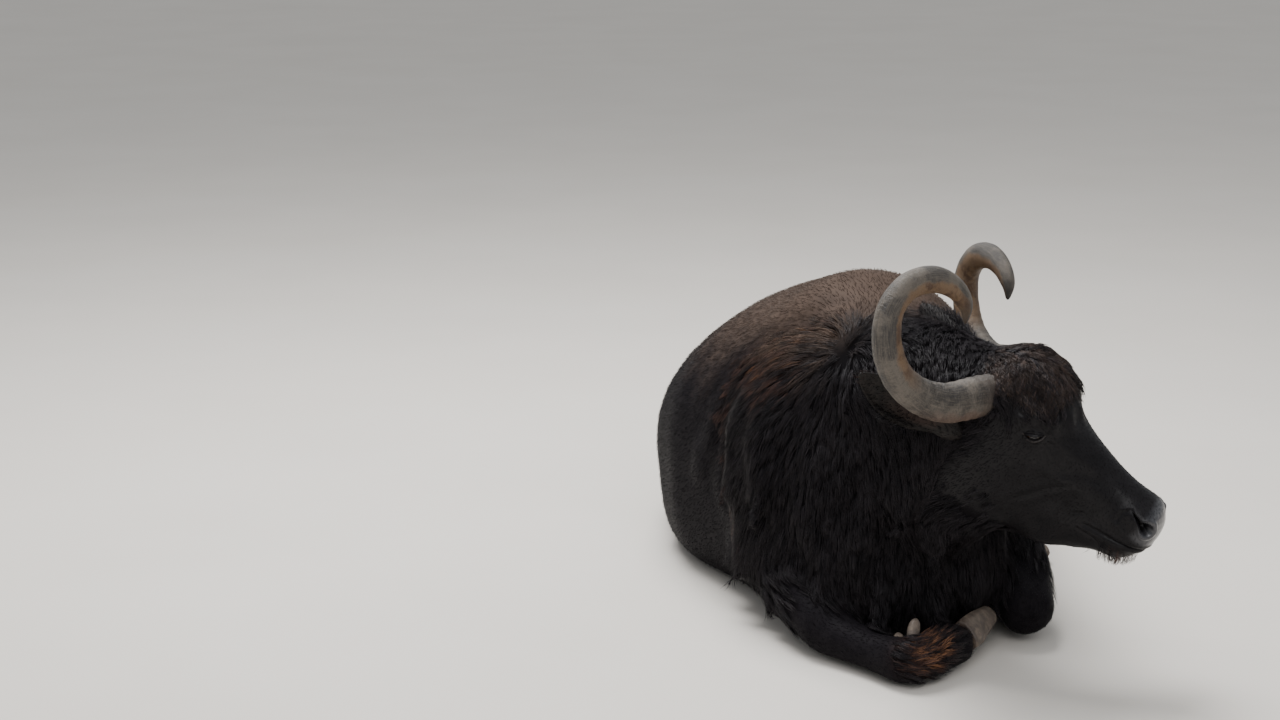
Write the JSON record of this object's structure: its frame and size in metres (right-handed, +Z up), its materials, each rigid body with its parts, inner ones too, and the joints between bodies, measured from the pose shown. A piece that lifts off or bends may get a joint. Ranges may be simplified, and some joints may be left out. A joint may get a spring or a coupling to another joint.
{
  "type": "water buffalo",
  "caption": "Life-size water buffalo lying at rest with its head turned to its left, curled horns and a shaggy coat.",
  "frame": {"origin": "middle of the floor under the animal's box", "axes": "+Z up, the chest faces -Y and the rump +Y, the animal's left side is +X"},
  "size_m": [1.0178, 1.9925, 0.9436],
  "materials": {
    "long_coat": "matte",
    "short_coat": "satin",
    "horn": "satin",
    "hoof": "matte",
    "eye": "gloss"
  },
  "bodies": {
    "root": {"ear_left": "long_coat", "ear_right": "long_coat", "eye_left": "eye", "eye_right": "eye", "foreleg_left_cannon": "long_coat", "foreleg_left_claw_1": "hoof", "foreleg_left_claw_2": "hoof", "foreleg_left_dewclaw_1": "hoof", "foreleg_left_dewclaw_2": "hoof", "foreleg_left_foot": "long_coat", "foreleg_left_forearm": "long_coat", "foreleg_right_cannon": "long_coat", "foreleg_right_claw_1": "hoof", "foreleg_right_claw_2": "hoof", "foreleg_right_dewclaw_1": "hoof", "foreleg_right_dewclaw_2": "hoof", "foreleg_right_foot": "long_coat", "foreleg_right_forearm": "long_coat", "forequarters": "long_coat", "head": "long_coat", "hindleg_left_cannon": "long_coat", "hindleg_left_claw_1": "hoof", "hindleg_left_claw_2": "hoof", "hindleg_left_dewclaw_1": "hoof", "hindleg_left_dewclaw_2": "hoof", "hindleg_left_foot": "long_coat", "hindleg_left_shank": "long_coat", "hindleg_left_thigh": "short_coat", "hindleg_right_cannon": "long_coat", "hindleg_right_claw_1": "hoof", "hindleg_right_claw_2": "hoof", "hindleg_right_dewclaw_1": "hoof", "hindleg_right_dewclaw_2": "hoof", "hindleg_right_foot": "long_coat", "hindleg_right_shank": "long_coat", "hindleg_right_thigh": "short_coat", "hindquarters": "short_coat", "horn_left": "horn", "horn_right": "horn", "neck": "long_coat", "tail": "long_coat", "tail_switch": "long_coat", "torso": "short_coat"}
  },
  "joints": []
}
